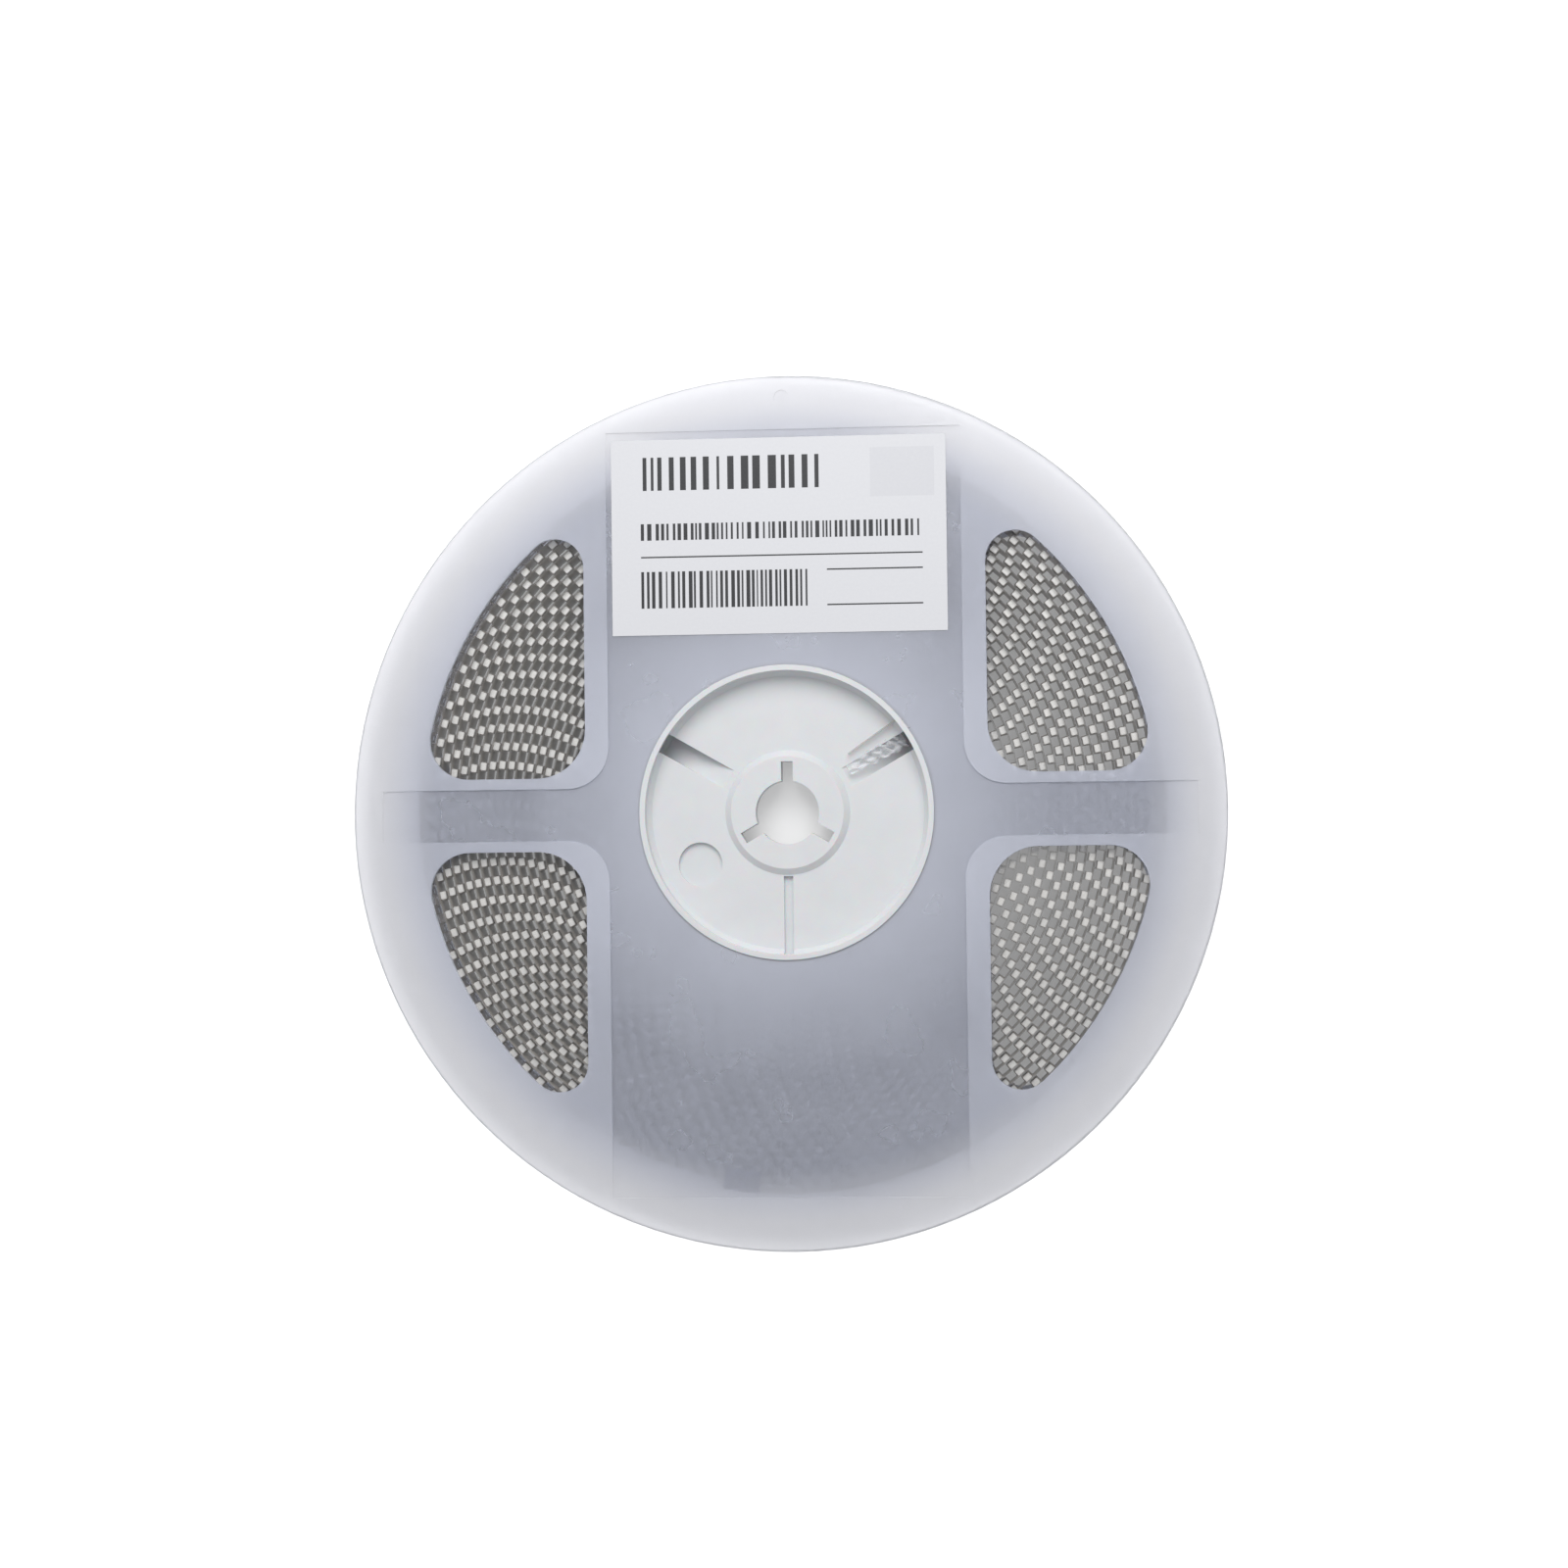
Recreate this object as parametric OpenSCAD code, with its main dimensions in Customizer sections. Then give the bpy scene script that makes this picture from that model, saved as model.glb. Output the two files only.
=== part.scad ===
// Seven inch tape-and-reel pack of surface-mount chip capacitors.
//
// A three-piece moulded reel: a hub with an arbor bore and two windowed flanges that seat on its
// ends. On the hub lies one strip of 8 mm embossed carrier tape, sealed by a thin cover tape, with a
// chip in every pocket.
//
// The reel lies on its rear flange. Z is the reel's axis, z = 0 the outer face of the rear flange and
// +Z the labelled side. +Y points from the axis to the label.

/* [Reel] */
// Outer diameter of both flanges
reel_d = 178; // [170:1:200]
// Thickness of each flange
flange_t = 1.2; // [1.1:0.1:2]
// Radius of the rounded edge round each flange
rim_r = 0.5; // [0.2:0.05:0.5]
// Clear width between the flanges
inner_w = 9; // [8.8:0.1:12]

/* [Flange windows] */
// Distance from the axis to the straight inner edge of a window
window_x = 41; // [38:0.5:46]
// Radius of the curved outer edge of a window
window_r = 75; // [70:0.5:77]
// Height of the arm between the upper and the lower window
arm_h = 15; // [13:0.5:24]
// Corner radius of a window beside the arm and the hub
inner_corner_r = 10; // [5:0.5:12]
// Corner radius of a window at the arm's outer end
outer_corner_r = 8; // [5:0.5:10]
// Corner radius of a window at its pointed end
tip_corner_r = 6; // [4:0.5:7]

/* [Thin panel] */
// Width of the sunk panel that takes the label
panel_w = 72.4; // [66:0.2:74]
// Height of the sunk panel
panel_h = 156; // [140:1:158]
// Span across the two sunk arms
panel_span = 166; // [156:1:168]
// Height of a sunk arm
panel_arm_h = 10.6; // [8:0.2:12]
// Radius between the panel and a sunk arm
panel_corner_r = 8.5; // [4:0.5:10]
// Depth of the panel below the flange's outer face
panel_depth = 0.3; // [0.1:0.05:0.5]
// Diameter of the gate mark near the rim
gate_d = 3; // [2:0.5:5]
// Distance from the axis to the gate mark
gate_r = 84.5; // [82:0.5:84.5]

/* [Hub] */
// Diameter of the hub's ends, which sit in the flanges
seat_d = 60; // [58:0.5:66]
// Height of the shoulder between a seat and the face that the tape is wound on
hub_step = 0.5; // [0.3:0.05:2]
// Clearance round the hub's ends in the flanges
seat_gap = 0.05; // [0.02:0.01:0.2]
// Thickness of the hub's wall at its ends
hub_wall = 1.1; // [0.8:0.1:1.6]
// Thickness of the web inside the hub
web_t = 2; // [1.2:0.1:3]
// Depth of the web below the reel's front face
web_depth = 4.2; // [2.5:0.1:6]
// Height of the foot fillet where the web meets the wall
web_fillet = 1; // [0.5:0.1:2]

/* [Arbor] */
// Diameter of the arbor bore
arbor_d = 13; // [12.8:0.1:13.5]
// Width of a key slot
key_w = 2.4; // [1.5:0.1:2.5]
// Distance from the axis to the bottom of a key slot
key_r = 10.4; // [9:0.1:11]
// Number of key slots
keys = 3; // [1:1:3]
// Diameter of the boss round the bore at its face
boss_d = 23; // [22.5:0.5:25]
// Height of the boss above the web on each side
boss_h = 1.2; // [0.4:0.1:2]
// How far the boss's flank spreads towards the web
boss_flare = 1.5; // [0.5:0.1:2]

/* [Hub features] */
// Width of the two channels that take the tape's inner end
channel_w = 4.2; // [3:0.1:6]
// Distance from the axis to a channel's inner end
channel_r = 13.8; // [13.5:0.1:18]
// Thickness of a channel's sides and floor
channel_wall = 1; // [0.6:0.1:1.5]
// Height of the opening through the hub's wall, less than the width between the flanges by
slot_land = 0.3; // [0.2:0.05:0.4]
// Width of the narrow groove below the bore
groove_w = 1.9; // [1:0.1:3]
// Depth of the narrow groove
groove_depth = 1; // [0.4:0.1:1.2]
// Diameter of the round dimple in the web
dimple_d = 9; // [5:0.5:11]
// Distance from the axis to the dimple
dimple_r = 20.8; // [19.5:0.1:22]
// Depth of the dimple
dimple_depth = 1; // [0.4:0.1:1.2]

/* [Carrier tape] */
// Width of the carrier tape
tape_w = 8; // [7.9:0.05:8.1]
// Thickness of the carrier tape
tape_t = 0.25; // [0.2:0.01:0.3]
// Growth of the roll's radius with each turn
turn_pitch = 1.93; // [1.9:0.01:1.97]
// Turns of tape on the hub
turns = 23.38; // [15:0.01:24]
// Length between neighbouring pockets
pocket_pitch = 4; // [4:0.5:8]
// Distance from the tape's front edge to the middle of its pockets
pocket_edge = 2.75; // [2.7:0.05:2.8]
// Depth of a pocket below the tape's inner face
pocket_depth = 1.44; // [1.4:0.01:1.5]
// Number of empty pockets at the inner end
trailer = 60; // [20:1:80]
// Number of empty pockets at the outer end
leader = 100; // [60:1:240]
// Clearance between the hub and the first turn's pockets
roll_gap = 0.05; // [0.02:0.01:0.2]
// Bend radius where the tape's inner end turns into the hub
tail_bend = 2.5; // [2:0.1:3]
// Distance from the axis to the tip of the tape's inner end
tail_r = 17; // [16:0.5:24]
// Clearance of the tape's inner end over the channel's floor
tail_gap = 0.3; // [0.2:0.05:0.5]

/* [Cover tape] */
// Width of the cover tape
cover_w = 5.4; // [5:0.1:5.4]
// Thickness of the cover tape
cover_t = 0.06; // [0.05:0.01:0.08]
// Thickness of the seal between the cover tape and the carrier tape
seal_t = 0.01; // [0.01:0.01:0.02]

/* [Chips] */
// Length of a chip, along the reel's axis
chip_l = 3.2; // [2:0.1:3.4]
// Width of a chip, along the tape
chip_w = 1.6; // [0.8:0.05:1.8]
// Height of a chip, across the tape
chip_h = 1.25; // [0.5:0.05:1.3]
// Play of a chip in its pocket
chip_play = 0.03; // [0.02:0.01:0.05]

/* [Label] */
// Distance from the panel's left edge to the label
label_left = 1.1; // [0.5:0.1:4]
// Distance from the panel's right edge to the label
label_right = 2.9; // [0.5:0.1:4]
// Height of the label
label_h = 40; // [30:0.5:44]
// Thickness of the label
label_t = 0.12; // [0.08:0.01:0.2]
// Distance from the panel's upper edge to the label
label_top = 1.6; // [0.5:0.1:4]

/* [End tab] */
// Width of the adhesive tab that holds the tape's outer end
tab_w = 7.4; // [5:0.1:16]
// Length of the tab's two ends, which are folded down over the sides of the roll
tab_fold = 4.6; // [2:0.1:8]
// Thickness of the tab
tab_t = 0.15; // [0.1:0.01:0.2]
// Distance from the tape's outer end to the tab
tab_setback = 3; // [1:0.5:10]

/* [Hidden] */
$fn = 96;

reel_w = inner_w + 2 * flange_t;      // width over both flanges
reel_r = reel_d / 2;
seat_r = seat_d / 2;
hub_r = seat_r + hub_step;            // face that the tape is wound on
cup_r = seat_r - hub_wall;            // radius of the hollow inside the hub
web_top = reel_w - web_depth;
web_bottom = web_top - web_t;
boss_r = boss_d / 2;
corner_steps = 12;                    // straight steps round a window's corner
arc_steps = 16;                       // and along its outer edge
over = 1;                             // how far a cutter runs past what it cuts
bite = 0.2;                           // how far a part runs into the one it is fused with

channel_angles = [30, 150];           // directions of the channels as seen from the front
groove_angle = 270;
dimple_angle = 210;
key_angle = 90;                       // direction of the first key slot
wall_slot_bottom = flange_t + slot_land;
wall_slot_top = reel_w - flange_t - slot_land;
floor_slope = (web_top - wall_slot_bottom) / (cup_r - channel_r);

tape_front = flange_t + (inner_w + tape_w) / 2;       // front edge of the tape
tape_rear = tape_front - tape_w;
pocket_z = tape_front - pocket_edge;                  // middle of the pockets
strip_r = hub_r + roll_gap + pocket_depth + turn_pitch / 4;  // inner face of the first half turn
// The tape leaves the first channel, bends round and is wound clockwise as seen from the front.
tail_x = strip_r - turn_pitch / 4 - tail_bend;        // centre of the bend, along the channel
wind_start = channel_angles[0] + asin((tail_bend - tape_t / 2) / hub_r);

// The roll is built of half turns about two centres. Each is half a turn pitch larger than the last
// and set off by half a turn pitch, so that it carries on from the last one's end without a step.
half_turns = ceil(2 * turns);
last = half_turns - 1;
last_angle = 180 * (2 * turns - last);                // the last half turn is cut short
tape_length = run(last) + half_r(last) * last_angle * PI / 180;
function half_r(k) = strip_r + k * turn_pitch / 2;
function half_x(k) = (k % 2 == 0 ? -1 : 1) * turn_pitch / 4;
// Length of tape in the first k half turns
function run(k) = PI * (k * strip_r + turn_pitch / 4 * k * (k - 1));
// Angle within half turn k of the point at length s along the tape
function along(k, s) = (s - run(k)) / half_r(k) * 180 / PI;

// Point on the wound roll as it lies on the reel
function wound(k, a, r) = let (
    x = half_x(k) + r * cos(180 * k + a),
    y = -r * sin(180 * k + a)
) [
    x * cos(wind_start) - y * sin(wind_start),
    x * sin(wind_start) + y * cos(wind_start)
];

// Is a point of the roll behind a window, or close enough to its edge to be seen there?
function in_window(p, margin) =
    abs(p.x) > window_x - margin
    && abs(p.y) > arm_h / 2 - margin
    && norm(p) < window_r + margin;

module wind() rotate([0, 0, wind_start]) mirror([0, 1, 0]) children();

// Stretch of strip in half turn k, from angle a0 to a1, lying lift above the tape's inner face
module arc(k, a0, a1, lift, t, bottom, w)
    translate([half_x(k), 0, 0])
        rotate([0, 0, 180 * k + a0])
            rotate_extrude(angle = a1 - a0)
                translate([half_r(k) + lift, bottom])
                    square([t, w]);

module spiral(lift, t, bottom, w)
    for (k = [0:last])
        arc(k, 0, k < last ? 180 : last_angle, lift, t, bottom, w);

// Points on a circle of radius r about c, from angle a0 to a1
function arc_points(c, r, a0, a1, steps) = [
    for (i = [0:steps]) let (a = a0 + (a1 - a0) * i / steps) c + r * [cos(a), sin(a)]
];

// Outline of the upper right window: two straight sides, an arc about the axis and three corners
module window_2d() {
    inner_c = [window_x + inner_corner_r, arm_h / 2 + inner_corner_r];
    outer_y = arm_h / 2 + outer_corner_r;
    outer_a = asin(outer_y / (window_r - outer_corner_r));
    outer_c = (window_r - outer_corner_r) * [cos(outer_a), sin(outer_a)];
    tip_x = window_x + tip_corner_r;
    tip_a = acos(tip_x / (window_r - tip_corner_r));
    tip_c = (window_r - tip_corner_r) * [cos(tip_a), sin(tip_a)];
    polygon(concat(
        arc_points(inner_c, inner_corner_r, 180, 270, corner_steps),
        arc_points(outer_c, outer_corner_r, 270, 360 + outer_a, corner_steps),
        arc_points([0, 0], window_r, outer_a + 1, tip_a - 1, arc_steps),
        arc_points(tip_c, tip_corner_r, tip_a, 180, corner_steps)
    ));
}

module all_quarters()
    for (sx = [0, 1], sy = [0, 1])
        mirror([sx, 0, 0]) mirror([0, sy, 0]) children();

// Cross-shaped outline of the sunk panel, with rounded re-entrant corners
module panel_2d() {
    square([panel_w, panel_h], center = true);
    square([panel_span, panel_arm_h], center = true);
    all_quarters()
        translate([panel_w / 2, panel_arm_h / 2])
            difference() {
                translate([-bite, -bite]) square(panel_corner_r + bite);
                translate([panel_corner_r, panel_corner_r]) circle(panel_corner_r);
            }
}

// Section of a flange: flat, with a rounded outer edge
module flange_profile() {
    edge = reel_r - rim_r;
    bore = seat_r + seat_gap;
    translate([bore, 0]) square([edge - bore, flange_t]);
    translate([edge - bite, rim_r]) square([rim_r + bite, flange_t - 2 * rim_r]);
    for (z = [rim_r, flange_t - rim_r])
        translate([edge, z]) circle(rim_r);
}

// Flange with its outer face up
module flange() {
    difference() {
        rotate_extrude() flange_profile();
        translate([0, 0, -over])
            linear_extrude(flange_t + 2 * over)
                all_quarters() window_2d();
        translate([0, 0, flange_t - panel_depth])
            linear_extrude(panel_depth + over)
                panel_2d();
        translate([0, gate_r, flange_t - panel_depth])
            cylinder(h = panel_depth + over, d = gate_d);
    }
}

module front_flange()
    color([0.86, 0.88, 0.91])
        translate([0, 0, reel_w - flange_t]) flange();

module rear_flange()
    color([0.86, 0.88, 0.91])
        translate([0, 0, flange_t]) mirror([0, 0, 1]) flange();

// A channel's floor falls from the web's face to the bottom of the opening in the hub's wall. Its
// long section lies drop below that floor and reaches up to the height top.
module channel_section(inner, drop, top)
    rotate([90, 0, 0])
        linear_extrude(channel_w + 2 * drop, center = true)
            polygon([
                [inner, web_top - drop - (inner - channel_r) * floor_slope],
                [cup_r + bite, wall_slot_bottom - drop - bite * floor_slope],
                [cup_r + bite, top],
                [inner, top]
            ]);

module channel_block()
    intersection() {
        channel_section(channel_r - channel_wall, channel_wall, web_top - bite);
        cylinder(h = reel_w, r = cup_r + bite);
    }

module channel_cut() {
    channel_section(channel_r - over, 0, web_top + over);
    translate([cup_r - bite, -channel_w / 2, wall_slot_bottom])
        cube([hub_r - cup_r + bite + over, channel_w, wall_slot_top - wall_slot_bottom]);
}

// Turned section of the hub: the wall with its two seats, the web and the boss
module hub_profile() {
    translate([cup_r, 0]) square([hub_wall, reel_w]);
    translate([cup_r, flange_t]) square([hub_r - cup_r, inner_w]);
    translate([0, web_bottom]) square([cup_r + bite, web_t]);
    polygon([
        [cup_r - web_fillet, web_bottom],
        [cup_r, web_bottom - web_fillet],
        [cup_r + bite, web_bottom - web_fillet],
        [cup_r + bite, web_top + web_fillet],
        [cup_r, web_top + web_fillet],
        [cup_r - web_fillet, web_top]
    ]);
    polygon([
        [0, web_bottom - boss_h],
        [boss_r, web_bottom - boss_h],
        [boss_r + boss_flare, web_bottom + bite],
        [boss_r + boss_flare, web_top - bite],
        [boss_r, web_top + boss_h],
        [0, web_top + boss_h]
    ]);
}

module hub()
    color([0.93, 0.93, 0.92])
        difference() {
            union() {
                rotate_extrude() hub_profile();
                for (a = channel_angles)
                    rotate([0, 0, a]) channel_block();
            }
            translate([0, 0, -over]) cylinder(h = reel_w + 2 * over, d = arbor_d);
            for (i = [0:keys - 1])
                rotate([0, 0, key_angle + i * 360 / keys])
                    translate([0, -key_w / 2, -over])
                        cube([key_r, key_w, reel_w + 2 * over]);
            for (a = channel_angles)
                rotate([0, 0, a]) channel_cut();
            rotate([0, 0, groove_angle])
                translate([boss_r + boss_flare, -groove_w / 2, web_top - groove_depth])
                    cube([cup_r - boss_r - boss_flare, groove_w, groove_depth + web_fillet + over]);
            rotate([0, 0, dimple_angle])
                translate([dimple_r, 0, web_top - dimple_depth])
                    cylinder(h = dimple_depth + over, d = dimple_d);
        }

// Inner end of the tape: a bend into the channel and a slanting tip over the channel's floor
module tail() {
    tip_bottom = wall_slot_bottom + (cup_r - tail_r) * floor_slope + tail_gap;
    translate([tail_x, 0, tape_rear])
        rotate([0, 0, -90])
            rotate_extrude(angle = 90)
                translate([tail_bend, 0]) square([tape_t, tape_w]);
    translate([0, -tail_bend, 0])
        rotate([90, 0, 0])
            linear_extrude(tape_t)
                polygon([
                    [tail_x, tape_rear],
                    [cup_r, tape_rear],
                    [tail_r, tip_bottom],
                    [tail_r, tape_front - (tape_front - tip_bottom) / 3],
                    [cup_r - tape_w / 2, tape_front],
                    [tail_x, tape_front]
                ]);
}

module carrier_tape()
    color([0.72, 0.73, 0.72])
        wind() {
            spiral(0, tape_t, tape_rear, tape_w);
            tail();
        }

module cover_tape()
    color([0.85, 0.88, 0.92])
        wind() spiral(tape_t + seal_t, cover_t, pocket_z - cover_w / 2, cover_w);

// One chip in each filled pocket that a window shows. The flanges hide all the others.
module chip_capacitors()
    color([0.90, 0.89, 0.86])
        for (k = [0:last])
            for (n = [ceil(run(k) / pocket_pitch):ceil(run(k + 1) / pocket_pitch) - 1]) {
                a = along(k, n * pocket_pitch);
                p = wound(k, a, half_r(k) - chip_play - chip_h / 2);
                filled = n > trailer && n < tape_length / pocket_pitch - leader;
                if (filled && in_window(p, chip_w))
                    translate([p.x, p.y, pocket_z])
                        rotate([0, 0, wind_start - 180 * k - a])
                            cube([chip_h, chip_w, chip_l], center = true);
            }

// Strip of adhesive tape laid across the tape near its outer end and folded down on both sides
module end_tab() {
    lift = tape_t + cover_t + 2 * seal_t;
    face_r = half_r(last) + lift;
    end_angle = last_angle - tab_setback / face_r * 180 / PI;
    width_angle = tab_w / face_r * 180 / PI;
    color([0.20, 0.27, 0.48])
        wind()
            translate([half_x(last), 0, 0])
                rotate([0, 0, 180 * last + end_angle - width_angle])
                    rotate_extrude(angle = width_angle)
                        difference() {
                            translate([face_r - tab_fold, tape_rear - tab_t])
                                square([tab_fold + tab_t, tape_w + 2 * tab_t]);
                            translate([face_r - tab_fold - over, tape_rear])
                                square([tab_fold + over, tape_w]);
                        }
}

module label()
    color([0.97, 0.97, 0.98])
        translate([
            label_left - panel_w / 2,
            panel_h / 2 - label_top - label_h,
            reel_w - panel_depth
        ])
            cube([panel_w - label_left - label_right, label_h, label_t]);

rear_flange();
front_flange();
hub();
carrier_tape();
cover_tape();
chip_capacitors();
end_tab();
label();
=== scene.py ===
"""Looks of a seven inch reel of embossed carrier tape with chip capacitors.

The reel lies on its rear flange, Z is its axis and +Y points to the label. Every shape is worked out
in millimetres and goes into its mesh in metres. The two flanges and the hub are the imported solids
with new materials. The tapes, the chips, the tab and the label are finer surfaces in their place.
"""
import math

import bpy
import numpy as np
from mathutils import Matrix, Vector


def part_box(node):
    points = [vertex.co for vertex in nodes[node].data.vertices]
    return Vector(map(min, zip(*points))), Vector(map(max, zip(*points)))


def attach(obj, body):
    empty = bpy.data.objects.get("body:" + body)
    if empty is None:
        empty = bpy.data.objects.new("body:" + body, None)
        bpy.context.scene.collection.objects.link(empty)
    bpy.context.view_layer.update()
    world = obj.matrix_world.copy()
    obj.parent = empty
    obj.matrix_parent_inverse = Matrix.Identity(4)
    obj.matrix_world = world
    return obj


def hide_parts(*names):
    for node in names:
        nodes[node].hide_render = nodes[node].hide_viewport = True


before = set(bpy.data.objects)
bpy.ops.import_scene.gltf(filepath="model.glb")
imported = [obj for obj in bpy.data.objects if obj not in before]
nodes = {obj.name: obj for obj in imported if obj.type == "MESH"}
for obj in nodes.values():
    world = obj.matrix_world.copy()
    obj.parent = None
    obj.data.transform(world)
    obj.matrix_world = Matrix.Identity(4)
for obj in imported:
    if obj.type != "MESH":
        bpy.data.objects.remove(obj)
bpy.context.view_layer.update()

rng = np.random.default_rng(8)

# ---------------------------------------------------------------- sizes, in millimetres
REEL_W = 11.4                 # over both flanges
HUB_R = 30.5                  # face that the tape is wound on
CUP_R = 28.9                  # hollow inside the hub
CHANNEL_R = 13.8              # inner end of a channel
CHANNEL_ANGLE = 30.0
SLOT_BOTTOM = 1.5             # lower edge of the opening in the hub's wall
WEB_TOP = 7.2
FLOOR_SLOPE = (WEB_TOP - SLOT_BOTTOM) / (CUP_R - CHANNEL_R)

TAPE_W, TAPE_REAR = 8.0, 1.7
TAPE_FRONT = TAPE_REAR + TAPE_W
TAPE_T = 0.25
TURN_PITCH = 1.93
TURNS = 23.38
POCKET_PITCH = 4.0
POCKET_DEPTH = 1.44
POCKET_V = 5.25               # middle of a pocket, from the rear edge of the tape
POCKET_U, POCKET_W = 1.05, 1.87   # half a pocket's outer length and width
WALL_T = 0.2                  # wall of a drawn pocket
SPROCKET_V, SPROCKET_R = 1.75, 0.75
TRAILER, LEADER = 60, 100     # empty pockets at the inner and the outer end
HOLED = 135                   # pitches at the outer end that have their sprocket holes
TAIL_BEND, TAIL_R, TAIL_GAP = 2.5, 17.0, 0.3

CHIP = np.array([1.25, 1.6, 3.2])     # across the tape, along the tape, along the reel's axis
CHIP_EDGE = 0.16              # rounding of a chip's edges
CAP_L = 0.5                   # tinned length at each end
CHIP_LIFT = -0.58             # middle of a chip, from the tape's inner face

COVER_W, COVER_LIFT, COVER_T = 5.4, 0.27, 0.05
TAB_W, TAB_FOLD, TAB_T, TAB_SETBACK = 7.4, 4.6, 0.13, 3.0

PANEL_HALF_W, PANEL_HALF_H = 36.2, 78.0
PANEL_HALF_SPAN, PANEL_ARM_HALF_H, PANEL_CORNER_R = 83.0, 5.3, 8.5
POLISH_AND_SHADE_FADE = (84.0, 73.0)    # radii between which the panel's polish and the flange's painted shade over the roll set in
HUB_HALO_RADII = (56.0, 32.0)        # radii between which a flange grows milkier towards the hub, a painted pale halo for light the white hub scatters into it

FLOOR_HALF = 3000
FLOOR_Z = -0.02
FOOTPRINT = (76.0, 84.0)      # radii between which the floor's painted glow passes from its weak level under the roll to its full level in the open
BORE_GLOW_FADE = (14.0, 9.0)       # radii between which a painted glow brightens the floor in the bore

BASE_R = HUB_R + 0.05 + POCKET_DEPTH          # inner face of the tape where it starts
STRIP_R = BASE_R + TURN_PITCH / 4             # radius of the first half turn
# the same angle as the solid's. It adds the bend where it should subtract it, see tail_end
WIND_START = math.radians(CHANNEL_ANGLE) + math.asin((TAIL_BEND - TAPE_T / 2) / HUB_R)
LAST = math.ceil(2 * TURNS) - 1


# ---------------------------------------------------------------- the roll's own coordinates
def run(k):
    """Length of tape in the first k half turns: pi times the sum of their radii."""
    return math.pi * (k * STRIP_R + TURN_PITCH / 4 * k * (k - 1))


TAPE_L = run(LAST) + (STRIP_R + LAST * TURN_PITCH / 2) * math.pi * (2 * TURNS - LAST)
POCKETS = int(TAPE_L / POCKET_PITCH)


def laid(p, q):
    """Turns the winding's plan coordinates to the reel's: y is mirrored, then turned to the channel."""
    c, s = math.cos(WIND_START), math.sin(WIND_START)
    return p * c + q * s, p * s - q * c


def rolled(along, lift):
    """Plan position at length along the tape, lift above its inner face.

    Half turn k is an arc of radius STRIP_R + k * TURN_PITCH / 2 about a centre a quarter of a turn
    pitch to one side, left and right in turn. k is the root of the quadratic that run() is.
    """
    b = STRIP_R - TURN_PITCH / 4
    k = (np.sqrt(b * b + TURN_PITCH * np.maximum(along, 0) / math.pi) - b) * 2 / TURN_PITCH
    k = np.clip(np.floor(k), 0, LAST)
    r = STRIP_R + k * TURN_PITCH / 2
    a = math.pi * k + (along - run(k)) / r
    side = np.where(k % 2 == 0, -1, 1) * TURN_PITCH / 4
    return laid(side + (r + lift) * np.cos(a), (r + lift) * np.sin(a))


def on_roll(places):
    """Rows of (length along the tape, lift, height over its rear edge) to x, y, z."""
    x, y = rolled(places[:, 0], places[:, 1])
    return np.column_stack([x, y, TAPE_REAR + places[:, 2]])


# ---------------------------------------------------------------- meshes and materials
def piece(name, points, faces, materials, replaces=(), part=None, smooth=False):
    """A new piece: points in millimetres, faces as rows of indices, part as a material per face."""
    mesh = bpy.data.meshes.new(name)
    mesh.from_pydata((np.asarray(points, float) * 0.001).tolist(), [], [list(map(int, f)) for f in faces])
    for material in materials:
        mesh.materials.append(material)
    if part is not None:
        mesh.polygons.foreach_set("material_index", np.asarray(part, np.int32))
    mesh.polygons.foreach_set("use_smooth", np.full(len(mesh.polygons), smooth))
    mesh.update()
    ob = bpy.data.objects.new(name, mesh)
    bpy.context.scene.collection.objects.link(ob)
    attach(ob, "root")
    if replaces:
        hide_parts(*replaces)
    return ob


def thicken(ob, t, offset=1.0):
    """Gives a sheet its thickness in millimetres, on the side its faces point to."""
    wall = ob.modifiers.new("thickness", "SOLIDIFY")
    wall.thickness, wall.offset = t * 0.001, offset
    wall.use_even_offset = False
    return ob


def welded(quads):
    """Quads as an array of n x 4 places become shared places and rows of indices."""
    flat = np.round(quads.reshape(-1, 3), 5)
    places, index = np.unique(flat, axis=0, return_inverse=True)
    return places, index.reshape(-1, 4)


def grid_faces(rows, columns):
    """Faces of a grid of points, row by row, each face pointing to the cross product row x column."""
    i = np.arange(rows * columns).reshape(rows, columns)
    return np.stack([i[:-1, :-1], i[1:, :-1], i[1:, 1:], i[:-1, 1:]], -1).reshape(-1, 4)


def linear(hexa):
    """An sRGB hex colour as linear numbers."""
    c = np.array([int(hexa[i:i + 2], 16) for i in (1, 3, 5)]) / 255
    return tuple(np.where(c <= 0.04045, c / 12.92, ((c + 0.055) / 1.055) ** 2.4)) + (1.0,)


def add(tree, kind, sockets=None, **settings):
    """Adds a node with its settings. A socket's value is a number, a colour or what links to it."""
    made = tree.nodes.new(kind)
    for name, value in settings.items():
        setattr(made, name, value)
    for name, value in (sockets or {}).items():
        if isinstance(value, bpy.types.NodeSocket):
            tree.links.new(value, made.inputs[name])
        else:
            made.inputs[name].default_value = value
    return made


def material(name):
    made = bpy.data.materials.new(name)
    made.use_nodes = True
    made.node_tree.nodes.clear()
    return made, made.node_tree


def surface(made, shader):
    add(made.node_tree, "ShaderNodeOutputMaterial", {"Surface": shader})
    return made


def object_mm(tree):
    """The piece's own coordinates in millimetres."""
    at = add(tree, "ShaderNodeTexCoord").outputs["Object"]
    return add(tree, "ShaderNodeVectorMath", {0: at, "Scale": 1000.0}, operation="SCALE").outputs[0]


def math_of(tree, operation, *values):
    return add(tree, "ShaderNodeMath", dict(enumerate(values)), operation=operation).outputs[0]


def spread(tree, value, low, high):
    """A value from 0 to 1 spread from low to high."""
    return add(tree, "ShaderNodeMapRange", {"Value": value, "To Min": low, "To Max": high}).outputs[0]


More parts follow.
